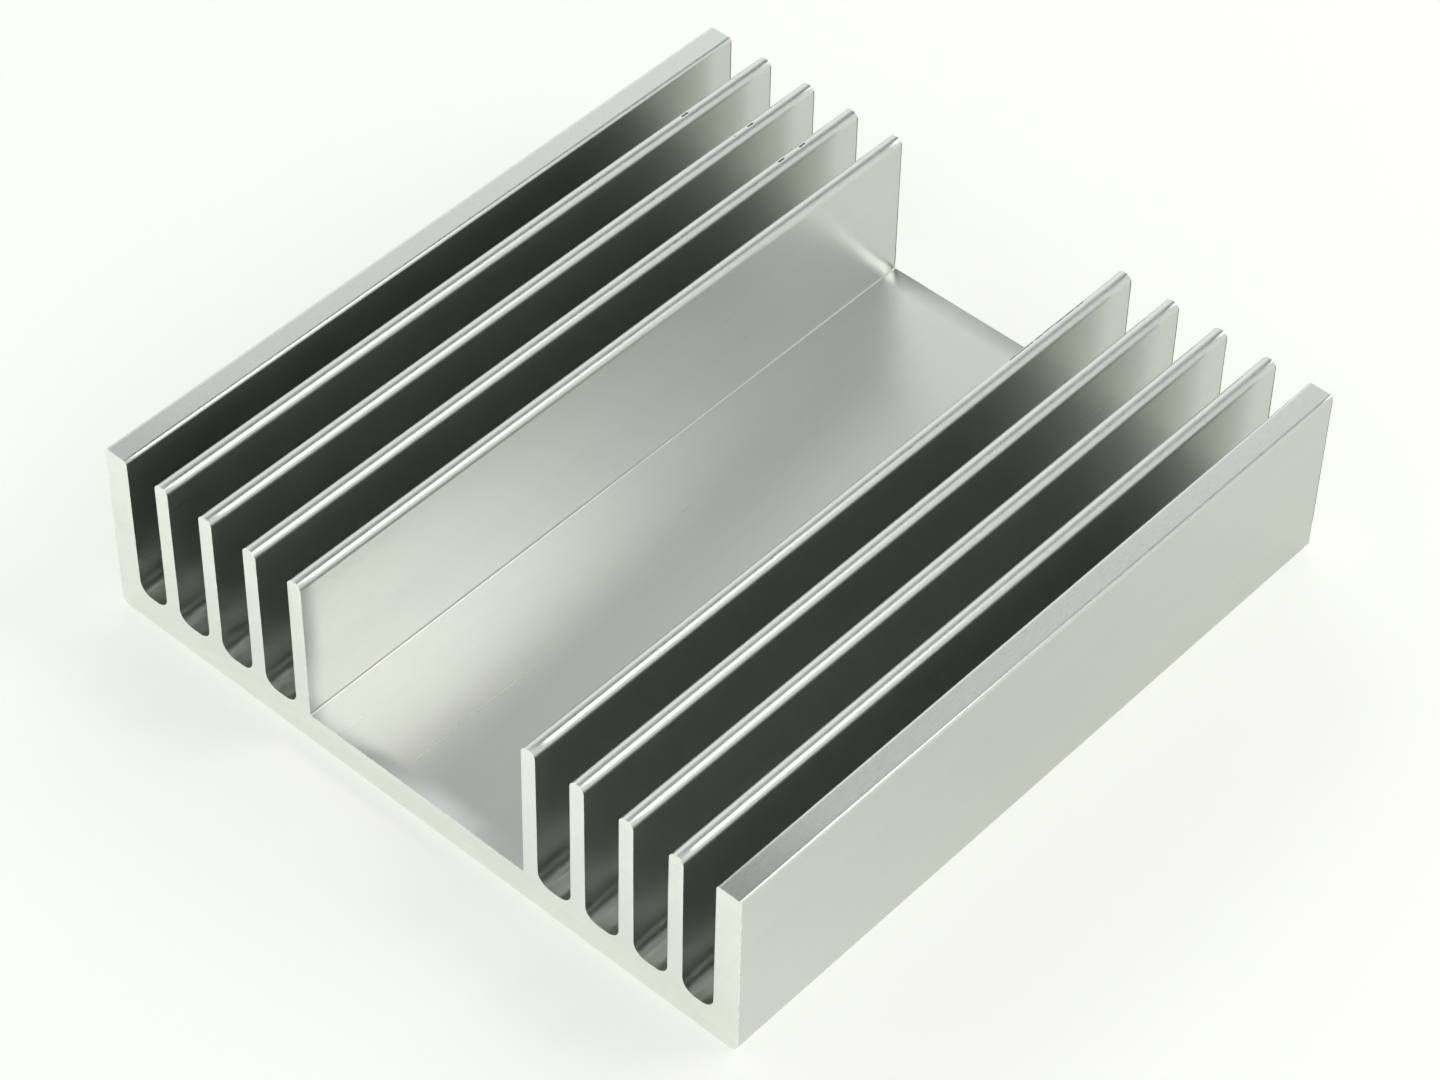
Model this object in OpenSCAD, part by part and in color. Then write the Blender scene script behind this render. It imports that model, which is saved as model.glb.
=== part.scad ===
// Extruded aluminium heat sink: one bar, sawn off a drawn length.
// The section is a comb of thin fins between two thick outer walls, with a
// wide flat channel down the middle where a power device is clamped or bolted.
// X is across the fins, Y is the direction of extrusion and Z is up.
// The origin is the middle of the underside.

/* [Bar] */
// Width over the two outer walls
profile_w = 95; // [80:1:140]
// Height from the underside to the fin tips
profile_h = 25; // [16:1:45]
// Length that the bar is sawn to
cut_length = 100; // [40:5:300]
// Thickness of the base under the channels
base_t = 4.2; // [3:0.1:8]
// Thickness of each outer wall at its foot
wall_t = 3.5; // [2.5:0.1:6]

/* [Fins] */
// Distance from one thin fin to the next
fin_pitch = 7; // [6.5:0.5:12]
// Thickness of a thin fin at its tip
fin_tip_t = 2; // [1.6:0.1:2.6]
// Draft: how far each channel side leans in between the tips and the floor
draft = 0.05; // [0:0.01:0.2]
// Width of the device channel between the tips of the two inner fins
device_channel_w = 33; // [20:1:45]

/* [Rounded corners] */
// Radius at the foot of the thin fins, in the narrow channels
channel_r = 1.8; // [0.5:0.1:1.9]
// Radius at the two edges of the device channel's floor
floor_r = 0.2; // [0.2:0.1:2]
// Width of the flat that is left between the two round shoulders of a fin tip
tip_flat_w = 0.1; // [0.1:0.1:1.2]
// Radius along the top edges of the outer walls
wall_edge_r = 0.5; // [0.2:0.1:1.1]
// Radius along the two bottom edges of the bar
bottom_r = 1.2; // [0.5:0.1:2.5]

/* [Hidden] */

// Sides of the circle that draws a rounded corner
arc_sides = 96;
// Radius of the two shoulders on each fin tip
tip_r = (fin_tip_t - tip_flat_w) / 2;
// Half the width of the bar, and half the width inside its outer walls
half_w = profile_w / 2;
half_inside = half_w - wall_t;
// Width of a narrow channel at its mouth and along its floor
gap_mouth = fin_pitch - fin_tip_t;
gap_floor = gap_mouth - 2 * draft;
// The least floor of the last channel, which still takes both of its foot radii
least_floor = 2 * channel_r + 0.2;
// Where the first thin fin starts, and how many fins fit on each side
fin_start = device_channel_w / 2;
fins_a_side = floor((half_inside - fin_start + gap_floor + draft - least_floor) / fin_pitch);

// One channel's outline, from its left mouth corner down, across and up again.
// Each point is [x, z, radius]. The sides lean in by the draft between the arcs.
function channel(left, right, foot_r, left_r, right_r) = [
    [left, profile_h, left_r],
    [left, profile_h - left_r, 0],
    [left + draft, base_t + foot_r, 0],
    [left + draft, base_t, foot_r],
    [right - draft, base_t, foot_r],
    [right - draft, base_t + foot_r, 0],
    [right, profile_h - right_r, 0],
    [right, profile_h, right_r]
];

// The narrow channels on the right, from the inside out
function side_channels() = [
    for (i = [1:1:fins_a_side])
        let (
            left = fin_start + (i - 1) * fin_pitch + fin_tip_t,
            last = i == fins_a_side,
            right = last ? half_inside + draft : left + gap_mouth
        )
        each channel(left, right, channel_r, tip_r, last ? wall_edge_r : tip_r)
];

// The same points in a mirror, in the order that keeps the outline's direction
function mirrored(points) = [
    for (i = [len(points) - 1:-1:0])
        [-points[i].x, points[i].y, points[i].z]
];

// The whole section as one closed run of points, clockwise from the bottom left
function section_points() = concat(
    [[-half_w, 0, bottom_r], [-half_w, profile_h, wall_edge_r]],
    mirrored(side_channels()),
    channel(-fin_start, fin_start, floor_r, tip_r, tip_r),
    side_channels(),
    [[half_w, profile_h, wall_edge_r], [half_w, 0, bottom_r]]
);

function flat_point(point) = [point.x, point.y];
function unit(v) = v / norm(v);
function turns_right(before, corner, after) =
    cross(corner - before, after - corner) < 0;

// What lies between a square corner and the arc that rounds it
module corner_web(before, corner, after, r) {
    start = corner + r * unit(before - corner);
    end = corner + r * unit(after - corner);
    centre = start + end - corner;
    difference() {
        polygon([corner, start, centre, end]);
        translate(centre) circle(r, $fn = arc_sides);
    }
}

// The webs of all the corners that point out of the section, or of all that point in
module corner_webs(points, outward) {
    count = len(points);
    for (i = [0:count - 1]) {
        before = flat_point(points[(i + count - 1) % count]);
        corner = flat_point(points[i]);
        after = flat_point(points[(i + 1) % count]);
        r = points[i].z;
        if (r > 0 && turns_right(before, corner, after) == outward)
            corner_web(before, corner, after, r);
    }
}

// The section: a sharp outline whose inward corners are filled and outward ones eased
module section(points) {
    difference() {
        union() {
            polygon([for (point = points) flat_point(point)]);
            corner_webs(points, outward = false);
        }
        corner_webs(points, outward = true);
    }
}

// The bar: the section carried straight along Y and sawn square at both ends
module heat_sink() {
    color("silver")
        rotate([90, 0, 0])
            linear_extrude(height = cut_length, center = true)
                section(section_points());
}

heat_sink();
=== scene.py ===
import math

import bpy
import numpy as np
from mathutils import Matrix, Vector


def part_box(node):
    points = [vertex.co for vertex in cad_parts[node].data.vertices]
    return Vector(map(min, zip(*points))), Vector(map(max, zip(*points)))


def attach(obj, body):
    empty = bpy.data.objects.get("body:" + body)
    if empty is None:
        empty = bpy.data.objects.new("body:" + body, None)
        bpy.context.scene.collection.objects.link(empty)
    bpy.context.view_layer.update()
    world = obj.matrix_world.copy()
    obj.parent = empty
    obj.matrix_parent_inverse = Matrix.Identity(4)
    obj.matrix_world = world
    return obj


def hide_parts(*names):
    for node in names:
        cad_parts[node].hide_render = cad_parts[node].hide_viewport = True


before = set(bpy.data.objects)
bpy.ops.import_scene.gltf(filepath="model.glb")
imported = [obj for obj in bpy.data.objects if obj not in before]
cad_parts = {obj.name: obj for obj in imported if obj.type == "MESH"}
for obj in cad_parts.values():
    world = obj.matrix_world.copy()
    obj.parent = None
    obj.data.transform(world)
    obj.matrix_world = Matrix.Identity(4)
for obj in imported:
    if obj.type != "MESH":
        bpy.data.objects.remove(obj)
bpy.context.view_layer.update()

# --- The bar ---------------------------------------------------------------
# One length of soft aluminium alloy, pushed hot through a steel die that cuts
# the whole comb of walls, fins and channels at once. It is left with its mill
# finish, so every drawn face carries fine die lines along the bar.

bar_low, bar_high = (np.array(corner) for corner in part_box("heat_sink"))
base_thickness = 0.0042
wall_thickness = 0.0035
fin_pitch = 0.007
fin_tip_thickness = 0.002
channel_draft = 0.00005
device_channel_width = 0.033
fins_a_side = 4
channel_foot_radius = 0.0018
device_floor_radius = 0.0002
fin_tip_flat = 0.0001
fin_tip_radius = (fin_tip_thickness - fin_tip_flat) / 2
wall_edge_radius = 0.0005
bottom_edge_radius = 0.0012
arc_points = 13
longest_step = 0.0035
beside_arc = 0.00006


def channel_corners(left, right, foot, left_edge, right_edge):
    """Corners x, z, radius of one channel: down its left side, over its floor and up its
    right. Each side leans in by the draft between its top arc and its foot arc."""
    top, floor, lean = bar_high[2], bar_low[2] + base_thickness, channel_draft
    return [
        (left, top, left_edge),
        (left, top - left_edge, 0),
        (left + lean, floor + foot, 0),
        (left + lean, floor, foot),
        (right - lean, floor, foot),
        (right - lean, floor + foot, 0),
        (right, top - right_edge, 0),
        (right, top, right_edge),
    ]


def rounded_outline(corners):
    """Points along a closed outline whose corners turn on quarter circles.
    A circle's centre lies one radius back along the way in plus one radius on along the way out,
    and its points swing from minus the way out to plus the way in."""
    corners = np.array(corners, float)
    point, radius = corners[:, :2], corners[:, 2, None]
    leg_in = point - np.roll(point, 1, axis=0)
    way_in = leg_in / np.linalg.norm(leg_in, axis=1, keepdims=True)
    way_out = np.roll(way_in, -1, axis=0)
    centre = point + radius * (way_out - way_in)
    turn = np.linspace(0, math.pi / 2, arc_points)[None, :, None]
    swing = np.sin(turn) * way_in[:, None] - np.cos(turn) * way_out[:, None]
    arcs = centre[:, None] + radius[:, None] * swing
    return arcs[radius[:, 0] > 0].reshape(-1, 2)


right_side = []
for fin in range(fins_a_side):
    left = device_channel_width / 2 + fin * fin_pitch + fin_tip_thickness
    last = fin == fins_a_side - 1
    right = (
        bar_high[0] - wall_thickness + channel_draft
        if last
        else left + fin_pitch - fin_tip_thickness
    )
    right_side += channel_corners(
        left,
        right,
        channel_foot_radius,
        fin_tip_radius,
        wall_edge_radius if last else fin_tip_radius,
    )
left_side = [(-x, z, radius) for x, z, radius in reversed(right_side)]
section_corners = [
    (bar_low[0], bar_low[2], bottom_edge_radius),
    (bar_low[0], bar_high[2], wall_edge_radius),
    *left_side,
    *channel_corners(
        -device_channel_width / 2,
        device_channel_width / 2,
        device_floor_radius,
        fin_tip_radius,
        fin_tip_radius,
    ),
    *right_side,
    (bar_high[0], bar_high[2], wall_edge_radius),
    (bar_high[0], bar_low[2], bottom_edge_radius),
]


def with_points_between(outline, longest, close):
    """The outline with each straight leg shared into equal steps no longer than the longest,
    and with one more point close to each end, so that shading turns only on the arcs."""
    leg = np.roll(outline, -1, axis=0) - outline
    length = np.linalg.norm(leg, axis=1)
    steps = np.maximum(1, np.ceil(length / longest)).astype(int)
    room_for_both = length > 6 * close
    shares = [
        np.unique(np.append(np.arange(n) / n, [close / size, 1 - close / size] if room else []))
        for n, size, room in zip(steps, length, room_for_both)
    ]
    which = np.repeat(np.arange(len(outline)), [len(share) for share in shares])
    along = np.concatenate(shares)[:, None]
    return outline[which] + along * leg[which]


outline = with_points_between(rounded_outline(section_corners), longest_step, beside_arc)
around = np.roll(outline, -1, axis=0) - np.roll(outline, 1, axis=0)
around /= np.linalg.norm(around, axis=1, keepdims=True)
outward = np.stack([-around[:, 1], around[:, 0]], axis=1)

# Both ends are sawn. The saw leaves a narrow break of 45 degrees on every edge
# and, behind it, a ragged burr that stands up a few hundredths of a millimetre.
edge_break = 0.00003
burr_reach = 0.00012
burr_height = 0.00004
chance = np.random.default_rng(7)


def ragged_burr(count):
    """Height of the burr at each point of the outline: a random share, cubed so that
    most of it is low, and smoothed over its neighbours."""
    share = chance.random(count) ** 3
    share = (share + np.roll(share, 1) + np.roll(share, -1)) / 1.6
    return burr_height * np.minimum(share, 1)


# The nicks: places where the crest of a fin was knocked or scraped. Each row has
# the fin's middle, how far off it the nick lies, where it starts and ends along
# the bar, and its depth.
nicks = np.array(
    [
        (-0.0385, -0.00015, 0.0350, 0.0362, 0.00006),
        (-0.0315, -0.00015, 0.0391, 0.0401, 0.00006),
        (-0.0315, -0.00015, 0.0366, 0.0369, 0.00005),
        (-0.0245, -0.00020, 0.0405, 0.0418, 0.00008),
        (-0.0245, -0.00020, 0.0368, 0.0380, 0.00008),
        (0.0175, -0.00062, 0.0296, 0.0338, 0.00010),
        (0.0175, -0.00062, 0.0343, 0.0354, 0.00010),
        (0.0175, -0.00066, 0.0356, 0.0377, 0.00005),
        (0.0175, -0.00062, 0.0379, 0.0414, 0.00010),
        (0.0175, -0.00060, 0.0416, 0.0430, 0.00009),
    ]
)
nick_half_width = 0.00024
nick_run_in = 0.0002
nick_margin = 0.0006
nick_step = 0.0002
plain_steps = 36

plain_places = np.linspace(bar_low[1] + burr_reach, bar_high[1] - burr_reach, plain_steps + 1)
nicked_places = np.arange(
    nicks[:, 2].min() - nick_margin, nicks[:, 3].max() + nick_margin, nick_step
)
length_places = np.unique(np.concatenate([plain_places, nicked_places]).round(6))
points = len(outline)
front_inset = np.stack([np.full(points, edge_break), -ragged_burr(points)])
back_inset = np.stack([-ragged_burr(points), np.full(points, edge_break)])
ring_place = np.concatenate(
    [
        bar_low[1] + np.array([0, edge_break]),
        length_places,
        bar_high[1] - np.array([edge_break, 0]),
    ]
)
rings = len(ring_place)
ring_inset = np.concatenate(
    [front_inset, np.zeros((len(length_places), points)), back_inset]
)

# A nick is deepest on its own line and fades to nothing at its half width. Along
# the bar it starts and stops over a short way and its depth is ragged.
nick_line_x = nicks[:, 0] + nicks[:, 1]
nick_line_z = bar_high[2] - fin_tip_radius + np.sqrt(fin_tip_radius**2 - nicks[:, 1] ** 2)
off_line = np.hypot(
    outline[:, 0, None] - nick_line_x, outline[:, 1, None] - nick_line_z
)
across_nick = np.clip(1 - (off_line / nick_half_width) ** 2, 0, 1)
to_nick_end = np.minimum(
    ring_place[:, None] - nicks[:, 2], nicks[:, 3] - ring_place[:, None]
)
along_nick = np.clip(to_nick_end / nick_run_in + 0.5, 0, 1)
along_nick *= chance.uniform(0.55, 1, (rings, len(nicks)))
nick_shares = along_nick[:, None] * across_nick[None]
nick_depth = (nick_shares * nicks[:, 4]).max(axis=2)

section = outline[None] - (ring_inset + nick_depth)[..., None] * outward[None]
section = np.clip(section, bar_low[[0, 2]], bar_high[[0, 2]])
vertices = np.empty((rings, points, 3))
vertices[..., 0] = section[..., 0]
vertices[..., 1] = ring_place[:, None]
vertices[..., 2] = section[..., 1]

ring, point = np.meshgrid(np.arange(rings - 1), np.arange(points), indexing="ij")
after = (point + 1) % points
sides = np.stack(
    [
        ring * points + point,
        ring * points + after,
        (ring + 1) * points + after,
        (ring + 1) * points + point,
    ],
    axis=-1,
).reshape(-1, 4)
front_cut = list(range(points))[::-1]
back_cut = list(range((rings - 1) * points, rings * points))

bar_mesh = bpy.data.meshes.new("bar")
bar_mesh.from_pydata(
    vertices.reshape(-1, 3).tolist(), [], sides.tolist() + [front_cut, back_cut]
)
cut = np.zeros(len(bar_mesh.polygons), np.int32)
cut[:points] = cut[-2 - points :] = 1
bar_mesh.polygons.foreach_set("material_index", cut)
bar_mesh.polygons.foreach_set("use_smooth", np.ones(len(cut), bool))
sharp_above = math.radians(25)
bar_mesh.set_sharp_from_angle(angle=sharp_above)
nick_mark = bar_mesh.attributes.new("nick", "FLOAT", "POINT")
nick_mark.data.foreach_set("value", nick_shares.max(axis=2).astype(np.float32).ravel())
bar_mesh.update()

# The shader takes its tangent from the texture space. A far off middle makes that
# tangent run along the bar on every face, so the blur of the metal follows the die.
bar_mesh.use_auto_texspace = False
bar_mesh.texspace_location = (-10, 0, 0)
bar_mesh.texspace_size = (1, 1, 1)
bar = bpy.data.objects.new("finned_bar", bar_mesh)
bpy.context.scene.collection.objects.link(bar)


class Wire:
    """One output socket in a material. Arithmetic on wires adds Math nodes."""

    def __init__(self, socket):
        self.socket = socket

    @staticmethod
    def node(tree, kind, settings=None, sockets=None, out=0):
        made = tree.nodes.new("ShaderNode" + kind)
        for name, value in (settings or {}).items():
            if name == "stops":
                ramp = made.color_ramp.elements
                while len(ramp) < len(value):
                    ramp.new(1)
                for stop, (place, shade) in zip(ramp, value):
                    stop.position, stop.color = place, shade
            else:
                setattr(made, name, value)
        for name, value in (sockets or {}).items():
            if isinstance(value, Wire):
                tree.links.new(value.socket, made.inputs[name])
            else:
                made.inputs[name].default_value = value
        return Wire(made.outputs[out]) if made.outputs else None

    def math(self, operation, *values):
        return Wire.node(
            self.socket.id_data,
            "Math",
            {"operation": operation},
            dict(enumerate(values)),
        )

    def __add__(self, other):
        return self.math("ADD", self, other)

    def __sub__(self, other):
        return self.math("SUBTRACT", self, other)

    def __rsub__(self, other):
        return self.math("SUBTRACT", other, self)

    def __mul__(self, other):
        return self.math("MULTIPLY", self, other)

    __radd__, __rmul__ = __add__, __mul__


def new_material(name):
    """A material with its own empty node tree, and that tree."""
    material = bpy.data.materials.new(name)
    material.use_nodes = True
    material.node_tree.nodes.clear()
    return material, material.node_tree


def noise(tree, place, scale, detail=3.0):
    """Noise of 0 to 1 whose grain is one over the scale on each axis, in metres."""
    stretched = Wire.node(
        tree, "VectorMath", {"operation": "MULTIPLY"}, {0: place, 1: scale}
    )
    sockets = {"Vector": stretched, "Scale": 1.0, "Detail": detail, "Roughness": 0.6}
    return Wire.node(tree, "TexNoise", {}, sockets)


def fade(value, start, end):
    """A share that goes smoothly from 0 at the start to 1 at the end."""
    if start > end:
        return 1 - fade(value, end, start)
    return Wire.node(
        value.socket.id_data,
        "MapRange",
        {"interpolation_type": "SMOOTHSTEP"},
        {"Value": value, "From Min": start, "From Max": end},
    )


def shaded(tree, colour, tone):
    """The colour times a tone, for a shader's colour socket."""
    return Wire.node(
        tree, "VectorMath", {"operation": "SCALE"}, {0: colour, "Scale": tone}
    )


drawn_colour = (0.655, 0.67, 0.64)
drawn_roughness = 0.29
drawn_relief = 0.0000015
drawn, tree = new_material("mill_finish")
place = Wire.node(tree, "TexCoord", out="Object")
x, y, z = (
    Wire.node(tree, "SeparateXYZ", {}, {0: place}, out=axis) for axis in range(3)
)
die_lines = noise(tree, place, (1400, 7, 1400), 4.0) - 0.5
die_bands = noise(tree, place, (260, 2.5, 260), 2.0) - 0.5
clouds = noise(tree, place, (60, 30, 60), 4.0) - 0.5
flecks = noise(tree, place, (3600, 800, 3600), 2.0) - 0.5

# The crests rub on what is laid over them, which leaves short bright and dull flecks.
crest = fade(z, 0.0243, 0.0249)
tone = 1 + die_lines * 0.06 + die_bands * 0.05 + clouds * 0.06 + crest * flecks * 0.2

# Painted shade: the front ends of the two wall tops are darkened, the right one more than the
# left.
wall_top = fade(z, 0.02485, 0.02495) * fade(x.math("ABSOLUTE", x), 0.0430, 0.0436)
painted_shade_front_tops = fade(y + clouds * 0.012, -0.034, -0.0505) * wall_top
tone = tone - painted_shade_front_tops * (fade(x, -0.01, 0.01) * 0.2 + 0.12)

# A thin dark line is painted along the back edges of the tall faces, and a painted highlight
# lies in patches along the front edges.
tall = fade(z, 0.0046, 0.0050) * fade(z, 0.0246, 0.0243)
dark_line_breakup = fade(noise(tree, place, (0, 0, 900)), 0.25, 0.45)
dark_back_line = fade(y, 0.04981, 0.04987) * tall * dark_line_breakup
patches = fade(noise(tree, place, (1500, 0, 1500)), 0.44, 0.52)
# Painted highlight: patches along the front edges are lightened, standing in for light caught on
# the burr.
painted_front_highlight = fade(y, -0.04986, -0.04992) * patches

nick = Wire.node(tree, "Attribute", {"attribute_name": "nick"}, out=2)
torn = fade(nick + flecks * 0.5, 0.34, 0.5)
tone = tone * (1 - dark_back_line * 0.72) * (1 - torn * 0.8) + painted_front_highlight * 0.45

dulled = drawn_roughness + die_lines * 0.06 + clouds * 0.05 + crest * flecks * 0.1
relief = die_lines * 0.5 + crest * flecks * 0.4 + die_bands * 0.5
metal = Wire.node(
    tree,
    "BsdfPrincipled",
    {},
    {
        "Base Color": shaded(tree, drawn_colour, tone),
        "Metallic": 1.0,
        "Roughness": dulled + painted_front_highlight * 0.15 + torn * 0.2,
        "Anisotropic": 0.75,
        "Anisotropic Rotation": 0.25,
        "Normal": Wire.node(
            tree, "Bump", {}, {"Height": relief, "Distance": drawn_relief, "Strength": 1.0}
        ),
    },
)
Wire.node(tree, "OutputMaterial", {}, {"Surface": metal})
bar_mesh.materials.append(drawn)

# The cut faces carry the wide, nearly straight arcs of a circular saw.
sawn_colour = (0.84, 0.855, 0.80)
sawn_roughness = 0.38
sawn_relief = 0.000003
blade_axis = (0.03, 0, -0.15)
sawn, tree = new_material("sawn_face")
place = Wire.node(tree, "TexCoord", out="Object")
x = Wire.node(tree, "SeparateXYZ", {}, {0: place})
on_cut = Wire.node(
    tree, "VectorMath", {"operation": "MULTIPLY"}, {0: place, 1: (1, 0, 1)}
)
from_axis = Wire.node(
    tree, "VectorMath", {"operation": "SUBTRACT"}, {0: on_cut, 1: blade_axis}
)
blade_radius = Wire.node(
    tree, "VectorMath", {"operation": "LENGTH"}, {0: from_axis}, out="Value"
)
arcs = Wire.node(tree, "CombineXYZ", {}, {0: blade_radius, 1: x})
saw_marks = noise(tree, arcs, (1700, 15, 0)) - 0.5
mottle = noise(tree, place, (180, 180, 180), 4.0) - 0.5
metal = Wire.node(
    tree,
    "BsdfPrincipled",
    {},
    {
        "Base Color": shaded(tree, sawn_colour, 1 + saw_marks * 0.10 + mottle * 0.12),
        "Metallic": 0.97,
        "Roughness": sawn_roughness + saw_marks * 0.12 + mottle * 0.1,
        "Normal": Wire.node(
            tree,
            "Bump",
            {},
            {"Height": saw_marks + mottle, "Distance": sawn_relief, "Strength": 1.0},
        ),
    },
)
Wire.node(tree, "OutputMaterial", {}, {"Surface": metal})
bar_mesh.materials.append(sawn)

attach(bar, "root")
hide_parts("heat_sink")

# --- The floor -------------------------------------------------------------
# A plain pale sheet that the bar stands on. It shows white, and keeps the
# bar's soft shadow.

floor_half = 2.0
floor_mesh = bpy.data.meshes.new("floor")
floor_corners = np.array([(-1, -1, 0), (1, -1, 0), (1, 1, 0), (-1, 1, 0)]) * floor_half
floor_mesh.from_pydata(
    (floor_corners + (0, 0, bar_low[2])).tolist(), [], [(0, 1, 2, 3)]
)
floor = bpy.data.objects.new("floor", floor_mesh)
bpy.context.scene.collection.objects.link(floor)
white_sheet, tree = new_material("white_sheet")
camera_ray = Wire.node(tree, "LightPath", out="Is Camera Ray")
glossy_ray = Wire.node(tree, "LightPath", out="Is Glossy Ray")
place = Wire.node(tree, "TexCoord", out="Object")
along = Wire.node(tree, "SeparateXYZ", {}, {0: place}, out=1)
# Painted light: in reflections only, the sheet glows brighter in front of the bar, so that the
# bar's front ends show brighter.
front_glow_share = Wire.node(
    tree, "MapRange", {"clamp": True}, {"Value": along, "From Min": 0.0, "From Max": -0.12}
)
sheet_colour = (0.84, 0.85, 0.76, 1)
sheet = Wire.node(tree, "BsdfDiffuse", {}, {"Color": sheet_colour})
glow = Wire.node(
    tree,
    "Emission",
    {},
    {
        "Color": (1, 1, 1, 1),
        "Strength": camera_ray * 0.46 + glossy_ray * (front_glow_share * 0.34 + 0.36),
    },
)
Wire.node(
    tree,
    "OutputMaterial",
    {},
    {"Surface": Wire.node(tree, "AddShader", {}, {0: sheet, 1: glow})},
)
floor_mesh.materials.append(white_sheet)

# --- The light -------------------------------------------------------------
# A studio with pale walls under a dark ceiling. The wall behind the bar's far
# left corner is the brightest, and one soft lamp hangs over its far right.
# The camera itself sees plain white.

world = bpy.data.worlds.new("room")
bpy.context.scene.world = world
world.use_nodes = True
tree = world.node_tree
tree.nodes.clear()
camera_ray = Wire.node(tree, "LightPath", out="Is Camera Ray")
direction = Wire.node(tree, "TexCoord")
height = Wire.node(tree, "SeparateXYZ", {}, {0: direction}, out=2)
far_left_way = (-0.7071, 0.7071, 0)
level = Wire.node(
    tree, "VectorMath", {"operation": "MULTIPLY"}, {0: direction, 1: (1, 1, 0)}
)
level = Wire.node(tree, "VectorMath", {"operation": "NORMALIZE"}, {0: level})
towards = Wire.node(
    tree, "VectorMath", {"operation": "DOT_PRODUCT"}, {0: level, 1: far_left_way}, out=1
)
bright_wall = towards.math("POWER", towards.math("MAXIMUM", towards, 0.0), 3.0)


def grey(level, tint=(0.95, 1.0, 1.0)):
    """A ramp's colour: one level, tinted on red, green and blue."""
    return tuple(level * part for part in tint) + (1,)


def ramp(stops):
    """Colours by the sine of the angle above the horizon, which is 0 and 1 straight up."""
    return Wire.node(tree, "ValToRGB", {"stops": stops}, {0: height})


walls = ramp(
    [
        (0.00, grey(1.10, (0.95, 1, 0.95))),
        (0.26, grey(1.00, (0.95, 1, 0.94))),
        (0.42, grey(0.88, (0.95, 1, 0.92))),
        (0.61, grey(0.92, (1.0, 1, 1.05))),
        (0.66, grey(0.83, (1.0, 1, 1.1))),
        (0.70, grey(0.67, (0.98, 1, 1.12))),
        (0.74, grey(0.52, (0.90, 1, 1.1))),
        (0.775, grey(0.35, (0.85, 1, 1.06))),
        (0.82, grey(0.06)),
        (0.86, grey(0.0)),
    ]
)
far_left = ramp(
    [
        (0.05, grey(0.0)),
        (0.42, grey(0.42, (0.8, 1, 1.0))),
        (0.55, grey(0.52, (0.87, 1, 1.0))),
        (0.62, grey(0.42, (0.9, 1, 0.9))),
        (0.68, grey(0.24, (0.95, 1, 0.7))),
        (0.74, grey(0.22, (1.05, 1, 0.75))),
        (0.79, grey(0.34, (1.1, 1, 0.88))),
        (0.83, grey(0.30, (1.1, 1, 0.9))),
        (0.89, grey(0.15)),
        (0.95, grey(0.0)),
    ]
)
lit = Wire.node(
    tree,
    "Mix",
    {"data_type": "RGBA", "blend_type": "ADD"},
    {"Factor": bright_wall, 6: walls, 7: far_left},
    out=2,
)
room_colour = Wire.node(
    tree,
    "Mix",
    {"data_type": "RGBA"},
    {"Factor": camera_ray, 6: lit, 7: (1, 1, 1, 1)},
    out=2,
)
Wire.node(
    tree,
    "OutputWorld",
    {},
    {
        "Surface": Wire.node(
            tree, "Background", {}, {"Color": room_colour, "Strength": 1.0}
        )
    },
)

lamp_height = 0.75
lamp_width, lamp_depth = 0.5, 0.18
lamp_radiance = 4.3
lamp_data = bpy.data.lights.new("soft_lamp", "AREA")
lamp_data.shape = "RECTANGLE"
lamp_data.size, lamp_data.size_y = lamp_width, lamp_depth
lamp_data.energy = lamp_radiance * math.pi * lamp_width * lamp_depth
lamp_data.color = (1.035, 1.0, 0.965)
lamp = bpy.data.objects.new("soft_lamp", lamp_data)
bpy.context.scene.collection.objects.link(lamp)
lamp.location = (0.45, 0.39, lamp_height)

# --- The camera ------------------------------------------------------------
# A short telephoto view, down on the bar's front right corner.

camera_data = bpy.data.cameras.new("camera")
camera_data.sensor_width = 36.0
camera_data.lens = 107.83
camera_data.clip_start, camera_data.clip_end = 0.01, 20
camera = bpy.data.objects.new("camera", camera_data)
bpy.context.scene.collection.objects.link(camera)
camera.matrix_world = Matrix(
    (
        (0.741356, -0.493988, 0.454276, 0.225415),
        (0.670922, 0.52946, -0.519168, -0.257947),
        (0.015942, 0.689672, 0.723947, 0.365278),
        (0, 0, 0, 1),
    )
)
bpy.context.scene.camera = camera

bpy.context.scene.view_settings.view_transform = "Standard"
